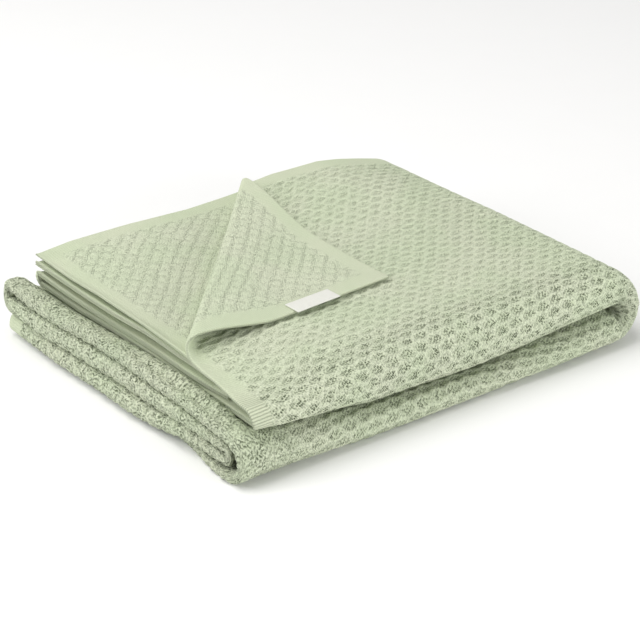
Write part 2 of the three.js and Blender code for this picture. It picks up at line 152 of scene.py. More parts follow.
# How far the leaves lift or hang at their free ends, which the solid leaves out too
END_UP_AT = table("place height", [
    (0.18, 0), (0.33, 1.5), (0.55, 1.3), (0.75, 0),
    (2.1, 0), (2.26, -1.1), (2.46, -0.5), (2.65, -0.5), (2.82, -1.8), (3, -1),
    (4, -0.8), (4.24, -1.2), (4.44, -1.4), (4.67, -1), (4.89, -1.5), (5, -1),
    (6, -0.8), (6.12, 0), (6.2, 0.4), (6.36, 1.8), (6.56, 0.4), (6.74, -0.1), (7, -0.5),
])
END_UP_OVER = 0.2
# From where the top leaf bends down to the front roll and the low leaf hangs there
SLUMP_FROM_Y = -58
SAG_FROM_Y = -62
SAG_OVER = 16

# How the pile has settled, as in the solid. The lowest leaf lies flat.
FLAT_BELOW = 2.2
# The ridges prop up the leaf ends
LIFT_HEIGHT, LIFT_FROM, LIFT_OVER = 5.2, 70, 190
DIP_DEPTH, DIP_FROM_Y, DIP_OVER_Y, DIP_FROM_X, DIP_OVER_X = 3.4, -34, 26, 0, 110
SWELL_AT = table("y height", [(-95, 0), (-70, 1.5), (0, 5.5), (60, 6), (100, 8.5)])
SWELL_FROM_X, SWELL_OVER_X, SWELL_FROM_Z, SWELL_OVER_Z = -112.5, 12, 5, 12
SINK_AT = table("x depth", [(-118, 0), (-90, 2.8), (-50, 3.2), (40, 3.2), (70, 2.6), (98, 0.8)])
SINK_FROM_Y, SINK_OVER_Y = -58, 22
DROOP_DEPTH, DROOP_FROM_X, DROOP_OVER_X, DROOP_OVER_Y = 4, 70, 45, 95
RISE_AT = table("x height", [
    (-118, 0.5), (-95, 3.3), (-60, 4.1), (-25, 3.4), (0, 5), (30, 7.8), (60, 7.6), (80, 4.3), (98, 1.8),
])
RISE_FROM_Y, RISE_OVER_Y = 20, 70
TUCK_DEPTH, TUCK_FROM_X, TUCK_OVER_X = 4, 88, 28
# The low ridge hangs down past the lowest one
HANG_DEPTH, HANG_FROM_X, HANG_OVER_X = 2.6, -119, 8
HANG_FROM_Y, HANG_OVER_Y, HANG_FROM_Z, HANG_OVER_Z = -52, 30, 6, 8

# The corner of the top leaf turns back over the line between these two points
TURN_BACK = np.array((10.0, 96.0))
TURN_FRONT = np.array((-118.0, -40.5))
TURN_RADIUS_BACK = 3.6
TURN_RADIUS_FRONT = 4.3
TURN_REST = LEAF + 0.3  # how high the turned corner lies over its own leaf
TURN_LANDING = 34
TURN_LENGTH = float(np.hypot(*(TURN_BACK - TURN_FRONT)))
TURN_LINE = (TURN_BACK - TURN_FRONT) / TURN_LENGTH
TURN_OUT = np.array((-TURN_LINE[1], TURN_LINE[0]))


def ease(value):
    """A soft step from 0 to 1."""
    t = np.clip(value, 0, 1)
    return t * t * (3 - 2 * t)


def lerp(start, end, share):
    """The value at a share of the way from start to end."""
    return start + (end - start) * share


def fold(centre, start, end, reach, share):
    """A half-oval fold of a pair of leaves: y, height and the direction towards leaf one."""
    half = (start - end) / 2
    angle = np.pi * share
    slope_y = reach * np.cos(angle)
    slope_z = -half * np.sin(angle)
    size = np.hypot(slope_y, slope_z)
    y = centre + reach * np.sin(angle)
    height = (start + end) / 2 + half * np.cos(angle)
    return y, height, slope_z / size, -slope_y / size


def front_fold(step):
    """How far the lower leaf hangs at the front fold, and the fold's top, bottom and reach."""
    sag = np.interp(step, ALONG["step"], ALONG["sag"]) * np.where(step < LOWER_HALF, -1, 1)
    top = QUARTER_1 - np.interp(step, ALONG["step"], ALONG["slump"])
    bottom = QUARTER_2 + sag
    half = (top - bottom) / 2
    return sag, top, bottom, np.minimum(FRONT_REACH, half * half / FRONT_NOSE)


def section(leaf_one, step, place):
    """The back-and-forth section of a pair of leaves across the pile."""
    at = {name: np.interp(step, ALONG["step"], ALONG[name]) for name in ALONG}
    part = np.clip(np.floor(place), 0, 6)
    share = place - part
    sag, top, bottom, reach = front_fold(step)
    front = at["front"] + reach + LEAF / 2 + CLOTH / 2
    inside = at["inside"]
    back = at["back"]
    none = np.zeros_like(step)
    up = np.ones_like(step)
    y_1 = lerp(np.where(leaf_one, at["edge1"], at["edge2"]), front, share)
    height_1 = QUARTER_1 - at["slump"] * ease((SLUMP_FROM_Y - y_1) / (SLUMP_FROM_Y - front))
    y_2 = lerp(front, back, share)
    height_2 = QUARTER_2 + sag * ease((SAG_FROM_Y - y_2) / SAG_OVER)
    parts = [
        (y_1, height_1, none, up),
        fold(front, top, bottom, -reach, share),
        (y_2, height_2, none, -up),
        fold(back, QUARTER_2 * up, QUARTER_3 * up, BACK_REACH, share),
        (lerp(back, inside, share), QUARTER_3 * up, none, up),
        fold(inside, QUARTER_3 * up, QUARTER_4 * up, -INSIDE_REACH, share),
        (lerp(inside, at["edge4"], share), QUARTER_4 * up, none, -up),
    ]
    chosen = [part == n for n in range(len(parts))]
    return [np.select(chosen, [values[n] for values in parts]) for n in range(4)]


def neat_pile(along, place):
    """The middle of the cloth in the neat pile."""
    leaf_one = along <= CREST
    side = np.where(leaf_one, 1.0, -1.0)
    step = np.where(leaf_one, along, 2 * CREST - along)
    part = np.clip(np.floor(step), 0, 3)
    share = step - part
    middle_y, height, normal_y, normal_z = section(leaf_one, step, place)
    across = {name: np.interp(place, ACROSS["place"], ACROSS[name]) for name in ACROSS}
    end = np.where(leaf_one, across["end1"], across["end2"])
    plump = across["plump"]
    ridge_deep = RIDGE_DEEP * plump
    ridge_start = across["crest"] + ridge_deep
    on_ridge = part == 3
    bulge = np.where(on_ridge, share * np.pi / 2, 0.0)
    ridge_x = ridge_start - ridge_deep * np.sin(bulge)
    low_x = np.where(on_ridge, ridge_x, lerp(FOLD_AXIS_X, ridge_start, share))
    swollen = np.where(part < 2, 1.0, lerp(1.0, plump, ease((PLUMP_FROM_X - low_x) / PLUMP_OVER_X)))
    apart = lerp(1.0, PRESSED, ease((place - PRESSED_FROM_PLACE) / PRESSED_OVER_PLACE))
    spread = swollen * lerp(apart, 1.0, ease(step / PRESSED_OVER))
    end_up = np.interp(place, END_UP_AT["place"], END_UP_AT["height"]) * (1 - ease(step / END_UP_OVER))
    end_up = np.where(leaf_one & (place < 1), 0.0, end_up)
    offset = side * LEAF / 2 * np.cos(bulge) * spread
    bumped = (low_x - ridge_start) / (BUMP_BACK_X - ridge_start)
    bump = ease(bumped / BUMP_TOP) * (1 - ease((bumped - BUMP_TOP) / (1 - BUMP_TOP)))
    bump_height = np.interp(place, BUMP_AT["place"], BUMP_AT["height"])
    bump = np.where(leaf_one & (part == 2), bump * bump_height, 0.0)
    radius = CREASE + height + offset * normal_z - bump + end_up
    y = middle_y + offset * normal_y
    angle = np.pi * share
    x = np.select([part == 0, part == 1], [
        lerp(end, FOLD_AXIS_X, share),
        FOLD_AXIS_X + radius * np.sin(angle),
    ], low_x)
    z = np.select([part == 0, part == 1], [
        MIDDLE + radius,
        MIDDLE + radius * np.cos(angle),
    ], MIDDLE - radius)
    return x, y, z


def settle(x, y, z):
    """Moves points of the neat pile to where the soft pile has settled."""
    low = np.clip((z - FLAT_BELOW) / (MIDDLE - FLAT_BELOW), 0, 1)
    high = np.clip((z - MIDDLE) / MIDDLE, 0, 1)
    near_crease = np.minimum(low, 1 - high)
    lift = LIFT_HEIGHT * ease((LIFT_FROM - x) / LIFT_OVER) * low
    dip = DIP_DEPTH * high * ease((DIP_FROM_Y - y) / DIP_OVER_Y) * ease((DIP_FROM_X - x) / DIP_OVER_X)
    outside = ease((SWELL_FROM_X - x) / SWELL_OVER_X) * ease((z - SWELL_FROM_Z) / SWELL_OVER_Z)
    swell = np.interp(y, SWELL_AT["y"], SWELL_AT["height"]) * outside
    sunk = near_crease * ease((SINK_FROM_Y - y) / SINK_OVER_Y)
    sink = np.interp(x, SINK_AT["x"], SINK_AT["depth"]) * sunk
    droop = DROOP_DEPTH * high * ease((x - DROOP_FROM_X) / DROOP_OVER_X) * ease(y / DROOP_OVER_Y)
    raised = high * ease((y - RISE_FROM_Y) / RISE_OVER_Y)
    rise = np.interp(x, RISE_AT["x"], RISE_AT["height"]) * raised
    tuck = TUCK_DEPTH * ease((x - TUCK_FROM_X) / TUCK_OVER_X) * (1 - low)
    hanging = ease((HANG_FROM_X - x) / HANG_OVER_X) * ease((y - HANG_FROM_Y) / HANG_OVER_Y)
    hang = HANG_DEPTH * hanging * (1 - ease((z - HANG_FROM_Z) / HANG_OVER_Z))
    return x - tuck, y, z + lift - dip + swell - sink - droop + rise - hang


def turn_place(x, y):
    """Where points lie against the line over which the corner turns back."""
    from_x = x - TURN_FRONT[0]
    from_y = y - TURN_FRONT[1]
    along = from_x * TURN_LINE[0] + from_y * TURN_LINE[1]
    radius = lerp(TURN_RADIUS_FRONT, TURN_RADIUS_BACK, np.clip(along / TURN_LENGTH, 0, 1))
    return along, radius, from_x * TURN_OUT[0] + from_y * TURN_OUT[1] + radius


def turn_corner(x, y, z):
    """Rolls the top leaf's corner back over the line, to lie on its own leaf."""
    along, radius, beyond = turn_place(x, y)
    angle = np.clip(beyond / radius, 0, np.pi)
    past = np.maximum(beyond - np.pi * radius, 0)
    out = -radius + radius * np.sin(angle) - past
    up = radius * (1 - np.cos(angle)) - (2 * radius - TURN_REST) * ease(past / TURN_LANDING)
    turned_x = TURN_FRONT[0] + TURN_LINE[0] * along + TURN_OUT[0] * out
    turned_y = TURN_FRONT[1] + TURN_LINE[1] * along + TURN_OUT[1] * out
    below = settle(turned_x, turned_y, np.full_like(turned_x, 2 * MIDDLE - LEAF / 2))[2]
    turned = beyond > 0
    after = (turned_x, turned_y, below + up)
    return [np.where(turned, there, here) for there, here in zip(after, (x, y, z))]


def cloth(along, place):
    """The middle of the cloth in the settled pile."""
    flat_point = settle(*neat_pile(along, place))
    turned_point = turn_corner(*flat_point)
    on_top = (along < 1) & (place < 1)
    return np.stack([np.where(on_top, t, f) for t, f in zip(turned_point, flat_point)], -1)


def cloth_normal(along, place):
    """The direction that the right side faces."""
    tiny = 0.004
    slope_along = cloth(along + tiny, place) - cloth(along - tiny, place)
    slope_across = cloth(along, place + tiny) - cloth(along, place - tiny)
    normal = np.cross(slope_across, slope_along)
    return normal / np.linalg.norm(normal, axis=-1, keepdims=True)


# Lengths of the open cloth at the steps along and the places across
FLAT_ALONG = table("along length", [(0, 0), (1, 216), (2, 271), (3, 491), (4, 497)])
LEAF_LENGTH = FLAT_ALONG["length"][-1]
FLAT_ACROSS = table("place length", [
    (0, 0), (1, 178), (2, 214), (3, 392), (4, 399), (5, 541), (6, 548), (7, 694),
])
CLOTH_WIDTH = FLAT_ACROSS["length"][-1]
FRONT_FOLD_LENGTH = FLAT_ACROSS["length"][2] - FLAT_ACROSS["length"][1]

# The knit: honeycomb cells on the right side, a trellis of diamonds on the wrong side
CELL_LONG = 9.2
CELL_ROW = 4.4
BORDER = 9.8
BORDER_FADE = 2.5
SLANT_DEEP = CELL_LONG / 2 / math.hypot(0.5, 1.5 * CELL_LONG / 2 / CELL_ROW)
DIAMOND_DEEP = 1 / math.hypot(1 / CELL_LONG, 1 / (2 * CELL_ROW))
RIDGE_UP = 0.42
CELL_DOWN = -0.4
RIDGE_FROM, RIDGE_TO = 0.1, 2.1
FLAT_CALM = 0.6  # share of the relief that is left where the knit lies flat
PILLOW_UP = 0.27
GROOVE_WIDE = 1.9
# The knit opens where it bends over the front rolls, the last fold and the ridges
OPEN_FLAT, OPEN_FOLD, OPEN_RIDGE = 0.55, 0.25, 0.9
OPEN_WIDE, OPEN_WIDE_OVER = 156, 24
OPEN_FOLD_LONG, OPEN_FOLD_OVER = 160, 60
OPEN_RIDGE_LONG, OPEN_RIDGE_OVER = 450, 30
# Loose loops take the place of the cells on the lower leaves and most of all on the ridges
LOOPS_LOW, LOOPS_LOW_LONG, LOOPS_LOW_OVER = 0.2, 250, 40
LOOPS_RIDGE, LOOPS_RIDGE_LONG, LOOPS_RIDGE_OVER = 0.72, 455, 20
LOOPS_CALM = 0.8  # share of the relief that is left under the loops
# Ribs show in the border where the top leaf bends down at the front
RIBS_FROM, RIBS_OVER, RIBS_TO, RIBS_TO_OVER = 160, 24, 200, 14
# The free edges are rounded
RIM_ROUND = 1.2
RIM_LEAST = 0.5
RIM_LEAST_INSIDE = 0.92  # where the leaves of a pair face each other
EDGE_RELIEF = 0.15
# The knit is stretched near the front end of the top leaf
STRETCH_LONG, STRETCH_END, STRETCH_WIDE, STRETCH_WIDE_OVER = 11, 75, 105, 45
# The knit's rows lie askew and shift in gentle waves: each wave's height, and its lengths along and across
UNEVEN_LONG = ((0.7, 31, 53), (0.5, -71, 17))
UNEVEN_WIDE = ((0.6, 23, -41), (0.4, 13, 29))
EVEN_AT_CREST = 25
SKEW_AT = table("length shift", [(0, 0), (100, 4.5), (145, 9.5), (190, 16.5), (271, 22), (497, 22)])


def flat_place(along, place):
    """Lengths along and across the open cloth."""
    step = np.where(along <= CREST, along, 2 * CREST - along)
    length = np.interp(step, FLAT_ALONG["along"], FLAT_ALONG["length"])
    return length, np.interp(place, FLAT_ACROSS["place"], FLAT_ACROSS["length"])


def front_gather(along, place):
    """How much shorter the cloth's way round the front fold is than the open cloth."""
    step = np.where(along <= CREST, along, 2 * CREST - along)
    _, top, bottom, reach = front_fold(step)
    arc = np.pi * np.sqrt(((top - bottom) ** 2 / 4 + reach ** 2) / 2)
    return (FRONT_FOLD_LENGTH - arc) * np.clip(place - 1, 0, 1)


def waves(rows, long, wide):
    """The sum of a few gentle waves."""
    return sum(height * np.sin(long / along + wide / across) for height, along, across in rows)


def knit_place(leaf_one, long, wide):
    """Where a place of the open cloth lies in the knit, whose rows have shifted unevenly."""
    skew = np.interp(long, SKEW_AT["length"], SKEW_AT["shift"])
    skew = skew * ease((CLOTH_WIDTH - wide) / CLOTH_WIDTH)
    uneven_long = waves(UNEVEN_LONG, long, wide) * ease((LEAF_LENGTH - long) / EVEN_AT_CREST)
    uneven_wide = waves(UNEVEN_WIDE, long, wide)
    near_end = np.clip(1 - long / STRETCH_END, 0, 1) ** 2
    stretch = STRETCH_LONG * near_end * ease((wide - STRETCH_WIDE) / STRETCH_WIDE_OVER)
    knit_long = (long - LEAF_LENGTH + stretch + uneven_long) / CELL_LONG
    return np.where(leaf_one, knit_long, -knit_long), (wide + skew + uneven_wide) / (2 * CELL_ROW)


def from_middle(value):
    """Distance from the nearest whole number."""
    return np.abs(value - np.round(value))


def border_shares(long, wide):
    """1 in the plain border at the short ends and at the long sides, 0 in the knit's cells."""
    from_side = np.minimum(wide, CLOTH_WIDTH - wide)
    return [1 - ease((distance - BORDER) / BORDER_FADE + 0.5) for distance in (long, from_side)]


def open_share(long, wide):
    """How far the stitches stand open, up to 1."""
    roll = ease((wide - OPEN_WIDE) / OPEN_WIDE_OVER)
    last_fold = OPEN_FOLD * ease((long - OPEN_FOLD_LONG) / OPEN_FOLD_OVER)
    ridge = OPEN_RIDGE * ease((long - OPEN_RIDGE_LONG) / OPEN_RIDGE_OVER)
    return lerp(OPEN_FLAT, 1.0, np.maximum(roll, np.maximum(last_fold, ridge)))


def loops_share(long):
    """How far loose loops hide the cells, up to 1."""
    low = LOOPS_LOW * ease((long - LOOPS_LOW_LONG) / LOOPS_LOW_OVER)
    return np.maximum(low, LOOPS_RIDGE * ease((long - LOOPS_RIDGE_LONG) / LOOPS_RIDGE_OVER))


def honeycomb(cell_long, cell_wide):
    """1 on the raised outline of a cell and 0 on its floor."""
    inside = []
    for shift in (0, 0.5):
        off_long = from_middle(cell_long + shift)
        off_wide = from_middle(cell_wide + shift)
        side = (1 - 2 * off_long) * CELL_LONG / 2
        inside.append(np.minimum(side, (1 - off_long - 3 * off_wide) * SLANT_DEEP))
    return 1 - ease((np.maximum(*inside) - RIDGE_FROM) / (RIDGE_TO - RIDGE_FROM))


def trellis(cell_long, cell_wide):
    """1 on a diamond's middle and 0 in the groove between two."""
    grooves = [0.5 - from_middle(cell_long + sign * cell_wide) for sign in (1, -1)]
    return ease(np.minimum(*grooves) * DIAMOND_DEEP / GROOVE_WIDE)


# Mesh lines: each row ends a run of cells and says how many there are, and into how many parts
# each way a cell is cut where it shows
RIM_STEP = 0.006
BY_RIDGE = 2.96
BY_RIDGE_AFTER = 2 * CREST - BY_RIDGE
BY_FRONT = 2.05
LINES_ALONG = [
    (RIM_STEP, 1, 2), (1, 27, 7), (2, 7, 7), (BY_RIDGE, 20, 9), (3, 1, 7), (CREST, 1, 5),
    (5, 1, 5), (BY_RIDGE_AFTER, 1, 7), (6, 18, 7), (7, 7, 7), (8 - RIM_STEP, 27, 7), (8, 1, 2),
]
LINES_ACROSS = [
    (RIM_STEP, 1, 2), (1, 22, 7), (2, 4, 7), (BY_FRONT, 1, 7), (3, 14, 10), (4, 1, 6),
    (5, 12, 10), (6, 1, 6), (7 - RIM_STEP, 13, 10), (7, 1, 2),
]
# Which cells show, and so have relief: near the leaf ends, the front folds and the ridge
END_SHOWN, INSIDE_FRONT_SHOWN = 0.08, 0.6
FRONT_SHOWN, LOW_SHOWN, LOW_BY_RIDGE = 0.96, 2.97, 2.92
# How far the turned corner covers its own leaf, and what shows before and under its roll
COVERED_X, COVERED_Y = -104, 80
ROLL_RIGHT, ROLL_WRONG, UNDER_ROLL = -4, -10, 8


def mesh_lines(runs):
    """Values of the cells' lines and how many parts each cell has."""
    values = [0.0]
    parts = []
    for end, cells, cut in runs:
        start = values[-1]
        values += [lerp(start, end, n / cells) for n in range(1, cells + 1)]
        parts += [cut] * cells
    return np.array(values), np.array(parts)


def fine_values(values, parts):
    """Values of every fine line, and the fine index of each cell's line."""
    fine = [values[0]]
    for start, end, cut in zip(values[:-1], values[1:], parts):
        fine += [lerp(start, end, n / cut) for n in range(1, cut + 1)]
    return np.array(fine), np.concatenate([[0], np.cumsum(parts)])


def shown_cells(along, place):
    """Which cells show on the right side and on the wrong side, by their middles."""
    x, y, _ = settle(*neat_pile(along, place))
    _, radius, beyond = turn_place(x, y)
    depth = radius - beyond
    mirror_x = x + 2 * depth * TURN_OUT[0]
    mirror_y = y + 2 * depth * TURN_OUT[1]
    top_leaf = (along < 1) & (place < 1)
    covered = (depth > 0) & (mirror_x > COVERED_X) & (mirror_y < COVERED_Y)
    near_end = along < END_SHOWN
    front = (place >= FRONT_SHOWN) & (place < BY_FRONT)
    right = top_leaf & np.where(beyond > ROLL_RIGHT, near_end, ~covered)
    right |= front & (along < LOW_SHOWN)
    right |= (along >= 1) & (along < 2) & (place < 1)
    right |= (along > BY_RIDGE) & (along < BY_RIDGE_AFTER)
    right |= (along > LOW_BY_RIDGE) & (along < 3) & (place > 2) & (place < 3)
    right |= (place > 3) & (place < 4) & (along < 3)
    wrong = top_leaf & (beyond > ROLL_WRONG)
    wrong |= (along > 7) & (place < 1) & (depth < UNDER_ROLL)
    wrong |= near_end & (place > INSIDE_FRONT_SHOWN) & (place < 2)
    return right, wrong


def net_quads(net):
    """The four corners of each mesh of a net of point numbers."""
    return np.stack([net[:-1, :-1], net[1:, :-1], net[1:, 1:], net[:-1, 1:]], -1).reshape(-1, 4)


def blanket_mesh():
    """The closed sheet with its relief: points, faces and the knit's values at each point."""
    values_a, parts_a = mesh_lines(LINES_ALONG)
    values_c, parts_c = mesh_lines(LINES_ACROSS)
    fine_a, index_a = fine_values(values_a, parts_a)
    fine_c, index_c = fine_values(values_c, parts_c)
    rows, columns = len(parts_a), len(parts_c)
    middle_a = (values_a[:-1] + values_a[1:]) / 2
    middle_c = (values_c[:-1] + values_c[1:]) / 2
    cells = np.meshgrid(middle_a, middle_c, indexing="ij")
    shown = shown_cells(*cells)
    used = np.zeros((len(fine_a), len(fine_c), 2), bool)
    carved = np.zeros_like(used)
    used[np.ix_(index_a, index_c)] = True
    for side in (0, 1):
        for row, col in zip(*np.nonzero(shown[side])):
            lines_a = slice(index_a[row], index_a[row + 1] + 1)
            lines_c = slice(index_c[col], index_c[col + 1] + 1)
            used[lines_a, lines_c, side] = True
            carved[lines_a, lines_c, side] = True
    number = np.full(used.shape, -1)
    number[used] = np.arange(used.sum())
    spot_a, spot_c, spot_side = np.nonzero(used)

    def ring(row, col, side):
        """A plain cell's outline, with the smaller cells' points where one lies beside it."""
        fine = shown[side]
        i0, i1 = index_a[row], index_a[row + 1]
        j0, j1 = index_c[col], index_c[col + 1]
        beside = [
            col > 0 and fine[row, col - 1], row < rows - 1 and fine[row + 1, col],
            col < columns - 1 and fine[row, col + 1], row > 0 and fine[row - 1, col],
        ]
        sides = [
            [(i, j0) for i in range(i0, i1)] if beside[0] else [(i0, j0)],
            [(i1, j) for j in range(j0, j1)] if beside[1] else [(i1, j0)],
            [(i, j1) for i in range(i1, i0, -1)] if beside[2] else [(i1, j1)],
            [(i0, j) for j in range(j1, j0, -1)] if beside[3] else [(i0, j1)],
        ]
        return [int(number[i, j, side]) for points in sides for i, j in points]

    faces = []
    for side in (0, 1):
        for row in range(rows):
            for col in range(columns):
                if not shown[side][row, col]:
                    points = ring(row, col, side)
                    faces.append(points[::-1] if side == 0 else points)
                    continue
                net = number[index_a[row]:index_a[row + 1] + 1, index_c[col]:index_c[col + 1] + 1, side]
                quads = net_quads(net)
                if side == 0:
                    quads = quads[:, ::-1]
                faces.extend(quads.tolist())

    def rim_run(points, fine_right, fine_wrong):
        """The rim between the two sides along one cell."""
        right = points if fine_right else [points[0], points[-1]]
        wrong = points if fine_wrong else [points[0], points[-1]]
        right = [int(number[i, j, 0]) for i, j in right]
        wrong = [int(number[i, j, 1]) for i, j in wrong]
        if len(right) != len(wrong):
            faces.append(right + wrong[::-1])
            return
        for n in range(len(right) - 1):
            faces.append([right[n], right[n + 1], wrong[n + 1], wrong[n]])

    last_a, last_c = len(fine_a) - 1, len(fine_c) - 1
    for row in range(rows):
        span = range(index_a[row], index_a[row + 1] + 1)
        rim_run([(i, 0) for i in span], shown[0][row, 0], shown[1][row, 0])
        rim_run([(i, last_c) for i in reversed(span)], shown[0][row, -1], shown[1][row, -1])
    for col in range(columns):
        span = range(index_c[col], index_c[col + 1] + 1)
        rim_run([(last_a, j) for j in span], shown[0][-1, col], shown[1][-1, col])
        rim_run([(0, j) for j in reversed(span)], shown[0][0, col], shown[1][0, col])

    along, place = fine_a[spot_a], fine_c[spot_c]
    long, wide = flat_place(along, place)
    knit_long, knit_wide = knit_place(along <= CREST, long, wide - front_gather(along, place))
    end_border, side_border = border_shares(long, wide)
    border = np.maximum(end_border, side_border)
    outline = honeycomb(knit_long, knit_wide)
    pillow = trellis(knit_long, knit_wide)
    opened = open_share(long, wide)
    loops = loops_share(long)
    ribs = ease((wide - RIBS_FROM) / RIBS_OVER) * (1 - ease((wide - RIBS_TO) / RIBS_TO_OVER))
    calm = lerp(FLAT_CALM, 1.0, opened) * lerp(1.0, LOOPS_CALM, loops)
    right_relief = lerp(lerp(CELL_DOWN, RIDGE_UP, outline) * calm, EDGE_RELIEF, border)
    wrong_relief = lerp(PILLOW_UP * pillow, EDGE_RELIEF, border)
    relief = np.where(spot_side == 0, right_relief, wrong_relief)
    relief = np.where(carved[used], relief, 0.0)
    from_rim = np.minimum(long, np.minimum(wide, CLOTH_WIDTH - wide))
    round_off = 1 - np.clip(from_rim / RIM_ROUND, 0, 1)
    least = np.where((spot_side == 1) & (place > 1), RIM_LEAST_INSIDE, RIM_LEAST)
    half = (CLOTH / 2 + relief) * lerp(least, 1.0, np.sqrt(1 - round_off ** 2))
    sign = np.where(spot_side == 0, 1.0, -1.0)
    points = cloth(along, place) + cloth_normal(along, place) * (half * sign)[:, None] + PILE_SHIFT
    points[:, 2] = np.maximum(points[:, 2], 0.0)
    return points * MM, faces, {
        "cells": np.stack([knit_long, knit_wide, spot_side.astype(float)], -1),
        "edge": np.stack([end_border, side_border, opened], -1),
        "loops": loops,
        "ribs": ribs,
    }


def new_object(name, points, faces, attributes):
    """A smooth mesh in the scene, with its values at each point."""
    mesh = bpy.data.meshes.new(name)
    mesh.from_pydata(points.tolist(), [], faces)
    for key, values in attributes.items():
        kind, field = ("FLOAT", "value") if values.ndim == 1 else ("FLOAT_VECTOR", "vector")
        layer = mesh.attributes.new(key, kind, "POINT")
        layer.data.foreach_set(field, values.astype(np.float32).ravel())
    mesh.shade_smooth()
    mesh.update()
    thing = bpy.data.objects.new(name, mesh)
    bpy.context.scene.collection.objects.link(thing)
    return thing


# The label, of the solid's size and cut finer
LABEL_THICK = 0.8
LABEL_GAP = 0.3
LABEL_FROM_CORNER = 35
LABEL_LONG = 27
LABEL_OVER = 2.4
LABEL_WIDE = 9.5
LABEL_CELLS_LONG = 54
LABEL_CELLS_WIDE = 19
LABEL_RIM_HALF = 0.2
PLACE_STEP = 0.1  # a short way along the top leaf's end, to measure its length


def label_mesh():
    """The label's closed tape on the wrong side of the turned corner."""
    along_per_mm = 1 / (FOLD_AXIS_X - ACROSS["end1"][0])
    corner = np.array([0.0])
    step_length = np.linalg.norm(cloth(corner, corner) - cloth(corner, corner + PLACE_STEP))
    place_per_mm = PLACE_STEP / step_length
    wide, long = np.meshgrid(np.linspace(0, LABEL_WIDE, LABEL_CELLS_WIDE + 1),
                             np.linspace(0, LABEL_LONG, LABEL_CELLS_LONG + 1), indexing="ij")
    along = (wide - LABEL_OVER) * along_per_mm
    place = (LABEL_FROM_CORNER + long) * place_per_mm
    rim = (wide == 0) | (wide == LABEL_WIDE) | (long == 0) | (long == LABEL_LONG)
    middle = CLOTH / 2 + LABEL_GAP + LABEL_THICK / 2
    half = np.where(rim, LABEL_RIM_HALF, LABEL_THICK / 2)
    base = cloth(along, place)
    normal = cloth_normal(along, place)
    layers = [base + normal * (-middle + side * half)[..., None] for side in (1, -1)]
    count = wide.size
    number = np.arange(count).reshape(wide.shape)
    quads = net_quads(number)
    faces = quads[:, ::-1].tolist() + (quads + count).tolist()
    edges = [number[:, 0], number[-1, :], number[::-1, -1], number[0, ::-1]]
    for edge in edges:
        for here, there in zip(edge[:-1].tolist(), edge[1:].tolist()):
            faces.append([here, there, there + count, here + count])
    points = np.concatenate([layer.reshape(-1, 3) for layer in layers])
    flat_points = np.stack([long.ravel(), wide.ravel(), np.zeros(count)], -1)
    return (points + PILE_SHIFT) * MM, faces, {"flat": np.concatenate([flat_points, flat_points])}


class Nodes:
    """Short calls for a material's nodes."""

    def __init__(self, material):
        self.tree = material.node_tree
        self.tree.nodes.clear()

    def add(self, kind, inputs=(), **settings):
        node = self.tree.nodes.new(kind)
        for key, value in settings.items():
            setattr(node, key, value)
        for key, value in dict(inputs).items():
            if hasattr(value, "is_output"):
                self.tree.links.new(value, node.inputs[key])
            else:
                node.inputs[key].default_value = value
        return node

    def math(self, operation, first, second=0.0, third=0.0):
        inputs = {0: first, 1: second, 2: third}
        return self.add("ShaderNodeMath", inputs, operation=operation).outputs[0]

    def vector(self, operation, first, second, third=(0.0, 0.0, 0.0)):
        inputs = {0: first, 1: second, 2: third}
        return self.add("ShaderNodeVectorMath", inputs, operation=operation).outputs[0]

    def step(self, value, start, end, low=0.0, high=1.0):
        """A soft step from low to high while the value goes from start to end."""
        inputs = {"Value": value, "From Min": start, "From Max": end, "To Min": low, "To Max": high}
        node = self.add("ShaderNodeMapRange", inputs, interpolation_type="SMOOTHSTEP")
        return node.outputs["Result"]

    def noise(self, vector, scale, detail=2.0):
        node = self.add("ShaderNodeTexNoise", {"Vector": vector, "Scale": scale, "Detail": detail})
        return node.outputs["Fac"]

    def mix(self, share, first, second, blend="MIX"):
        node = self.add("ShaderNodeMix", data_type="RGBA", blend_type=blend)
        sockets = [s for s in node.inputs if s.enabled]
        for socket, value in zip(sockets, (share, first, second)):
            if hasattr(value, "is_output"):
                self.tree.links.new(value, socket)
            else:
                socket.default_value = value
        return [s for s in node.outputs if s.enabled][0]


# The knit's material, in millimetres and in shares from 0 to 1. A pair of numbers is where a soft
# step starts and ends, and a row of four also has the values before and after the step.
SIDES_APART = 60.0  # keeps the grain of the two sides apart
SWAY_SCALE, SWAY_REACH = 0.55, 2.0
CELL_EDGE = (0.45, 1.45)
# Gaps between the stitches, painted dark as shade
STITCH_SLANT = math.radians(30)
STITCH_NARROW = 0.82
STITCH_LONG = 1.1
STITCH_UNEVEN = 0.6
HOLE_EDGE = (0.52, 0.22)
HOLE_CHANCE = (0.0, 0.6, 0.3, 1.0)
HOLE_LEAN = (-0.3, 0.35, 0.64, 1.0)
HOLE_ON_OUTLINE, HOLE_MORE_IN_CELL = 0.4, 0.5
# Loose loops, with the gaps between them painted dark as shade
LOOP_GRAIN = 0.95
LOOP_EDGE = (0.55, 0.36)
LOOP_CLUMP = 0.17
LOOP_CLUMP_SHARE = (0.35, 0.65, 0.55, 1.0)
# The wrong side: the slant of each set of grooves and how dark its painted shade is
GROOVE_SETS = ((-1.0, 0.25), (1.0, 0.17))
GROOVE_EDGE = (1.9, 0.3)
WRONG_HOLE = 0.18
# Ribs of the border, with painted shade between them, faint but where the top leaf bends down
RIB = 1.3
RIB_SHARE = (0.0, 1.0, 0.1, 0.36)
